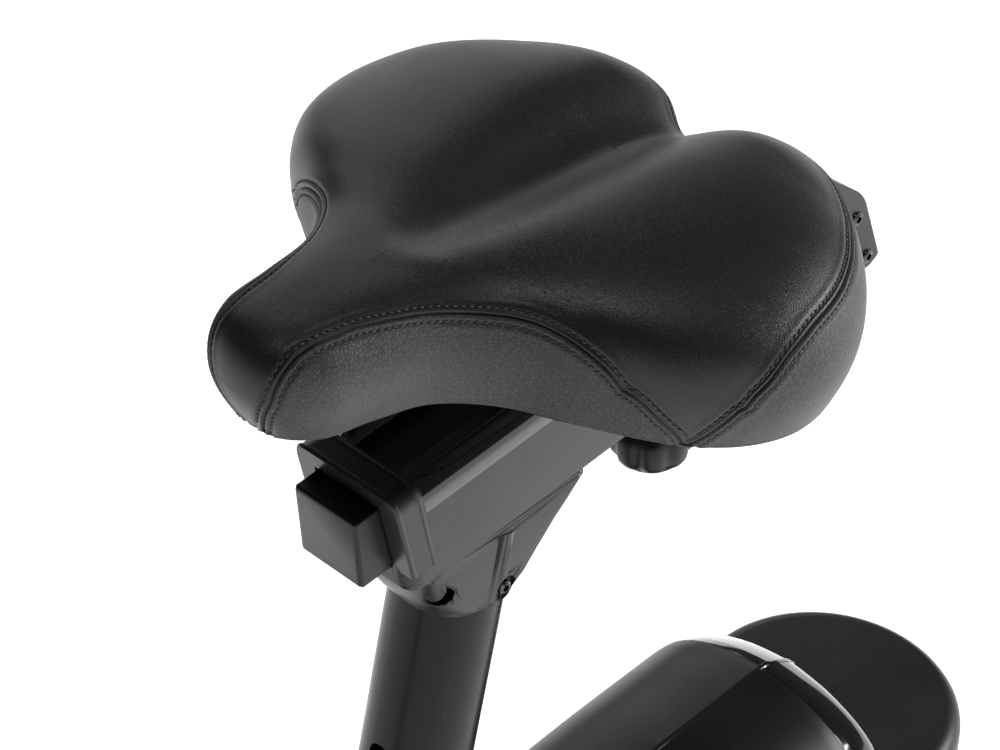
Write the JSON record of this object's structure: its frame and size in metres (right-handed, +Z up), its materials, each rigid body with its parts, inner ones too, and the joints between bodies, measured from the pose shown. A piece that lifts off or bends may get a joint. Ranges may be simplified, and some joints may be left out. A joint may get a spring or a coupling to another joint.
{
  "type": "exercise bike",
  "caption": "Upright exercise bike with a wide padded saddle on a sliding rail, an adjustable seat post, a rear flywheel housing, cranks with strapped pedals, a handlebar and a console.",
  "frame": {"origin": "on the floor at the middle of the base's bounding box", "axes": "+Z up, the rider faces -Y, the rider's left is +X"},
  "size_m": [0.5246, 1.12, 1.1465],
  "materials": {
    "frame_paint": "satin black powder coat",
    "stabiliser_paint": "satin black powder coat",
    "housing_plastic": "fine-textured black moulding",
    "tail_plastic": "fine-textured blue-black moulding",
    "gloss_trim": "polished black moulding",
    "cap_plastic": "black moulding",
    "knob_plastic": "black moulding",
    "saddle_cover": "black grained synthetic leather over foam",
    "saddle_base": "black moulding",
    "bare_steel": "turned steel",
    "crank_steel": "black painted forging",
    "flywheel_iron": "machined rim, painted web",
    "rubber": "black rubber",
    "grip_foam": "black closed-cell foam",
    "pedal_plastic": "black moulding",
    "strap_rubber": "black flexible strap",
    "console_plastic": "semi-gloss black moulding",
    "display": "dark display window",
    "button": "red soft-touch moulding"
  },
  "bodies": {
    "frame": {"base_beam": "frame_paint", "front_stabiliser": "stabiliser_paint", "rear_stabiliser": "stabiliser_paint", "front_end_cap_left": "cap_plastic", "front_end_cap_right": "cap_plastic", "rear_end_cap_left": "cap_plastic", "rear_end_cap_right": "cap_plastic", "seat_tube": "frame_paint", "seat_tube_sleeve": "cap_plastic", "front_mast": "frame_paint", "brace_tube": "frame_paint", "bottom_bracket": "frame_paint", "flywheel_plate_left": "frame_paint", "flywheel_plate_right": "frame_paint", "flywheel_bearing_left": "bare_steel", "flywheel_bearing_right": "bare_steel", "crank_bearing_left": "bare_steel", "crank_bearing_right": "bare_steel", "drive_belt": "rubber", "housing_left": "housing_plastic", "housing_right": "housing_plastic", "housing_trim": "gloss_trim", "tail_cover_left": "tail_plastic", "tail_cover_right": "tail_plastic", "handlebar_stem": "frame_paint", "console": "console_plastic", "console_window": "display"},
    "transport_wheel_left": {"transport_wheel_left": "rubber"},
    "transport_wheel_right": {"transport_wheel_right": "rubber"},
    "flywheel": {"flywheel": "flywheel_iron", "flywheel_shaft": "bare_steel"},
    "crank": {"crank_axle": "bare_steel", "drive_pulley": "pedal_plastic", "crank_arm_left": "crank_steel", "crank_arm_right": "crank_steel", "pedal_spindle_left": "bare_steel", "pedal_spindle_right": "bare_steel"},
    "pedal_left": {"pedal_left": "pedal_plastic", "pedal_strap_left": "strap_rubber"},
    "pedal_right": {"pedal_right": "pedal_plastic", "pedal_strap_right": "strap_rubber"},
    "brake": {"brake_carrier": "bare_steel"},
    "resistance_knob": {"resistance_knob": "knob_plastic"},
    "height_pin": {"height_pin": "knob_plastic"},
    "seat_post": {"seat_post": "frame_paint", "seat_head": "frame_paint", "guide_clip": "frame_paint"},
    "rail_knob": {"rail_knob": "knob_plastic"},
    "saddle": {"saddle_rail": "frame_paint", "rail_cap_front": "cap_plastic", "rail_end_boot": "frame_paint", "saddle_bracket": "frame_paint", "saddle_pan": "saddle_base", "saddle_pad": "saddle_cover"},
    "handlebar": {"handlebar": "frame_paint", "grip_left": "grip_foam", "grip_right": "grip_foam"},
    "mode_button": {"mode_button": "button"}
  },
  "joints": [
    {"name": "flywheel_spin", "type": "hinge", "parent": "frame", "child": "flywheel", "pos_m": [0, 0.245, 0.312], "axis": [1, 0, 0], "continuous": true},
    {"name": "crank_turn", "type": "hinge", "parent": "frame", "child": "crank", "pos_m": [0, -0.05, 0.33], "axis": [1, 0, 0], "continuous": true},
    {"name": "pedal_left_spin", "type": "hinge", "parent": "crank", "child": "pedal_left", "pos_m": [0, -0.21629, 0.29466], "axis": [1, 0, 0], "continuous": true},
    {"name": "pedal_right_spin", "type": "hinge", "parent": "crank", "child": "pedal_right", "pos_m": [0, 0.11628, 0.36534], "axis": [1, 0, 0], "continuous": true},
    {"name": "resistance_turn", "type": "hinge", "parent": "frame", "child": "resistance_knob", "pos_m": [0, -0.34, 0.818], "axis": [0, 1, 0], "range_deg": [0, 270]},
    {"name": "brake_swing", "type": "hinge", "parent": "frame", "child": "brake", "pos_m": [0, 0.061, 0.381], "axis": [1, 0, 0], "range_deg": [0, 4.01]},
    {"name": "height_pin_pull", "type": "slide", "parent": "frame", "child": "height_pin", "axis": [0, -0.9724, 0.2334], "range_m": [0, 0.012], "stiffness_N_per_m": 900, "springref_m": -0.004},
    {"name": "seat_height", "type": "slide", "parent": "frame", "child": "seat_post", "axis": [0, 0.2334, 0.9724], "range_m": [-0.125, 0.075]},
    {"name": "rail_knob_turn", "type": "hinge", "parent": "seat_post", "child": "rail_knob", "pos_m": [0, 0.23539, 0.75217], "axis": [0, -0.0628, 0.998], "range_deg": [0, 540]},
    {"name": "saddle_slide", "type": "slide", "parent": "seat_post", "child": "saddle", "axis": [0, 0.998, 0.0628], "range_m": [-0.07, 0.012]},
    {"name": "handlebar_tilt", "type": "hinge", "parent": "frame", "child": "handlebar", "pos_m": [0, -0.364, 1.034], "axis": [1, 0, 0], "range_deg": [-15, 25]},
    {"name": "mode_button_press", "type": "slide", "parent": "frame", "child": "mode_button", "axis": [0, -0.6157, -0.788], "range_m": [0, 0.002], "stiffness_N_per_m": 400, "springref_m": -0.001},
    {"name": "transport_wheel_left_spin", "type": "hinge", "parent": "frame", "child": "transport_wheel_left", "pos_m": [0, -0.538, 0.036], "axis": [1, 0, 0], "continuous": true},
    {"name": "transport_wheel_right_spin", "type": "hinge", "parent": "frame", "child": "transport_wheel_right", "pos_m": [0, -0.538, 0.036], "axis": [1, 0, 0], "continuous": true}
  ],
  "couplings": [
    {"joint": "crank_turn", "follows": "flywheel_spin", "ratio": 0.22},
    {"joint": "brake_swing", "follows": "resistance_turn", "ratio": 0.014815}
  ]
}
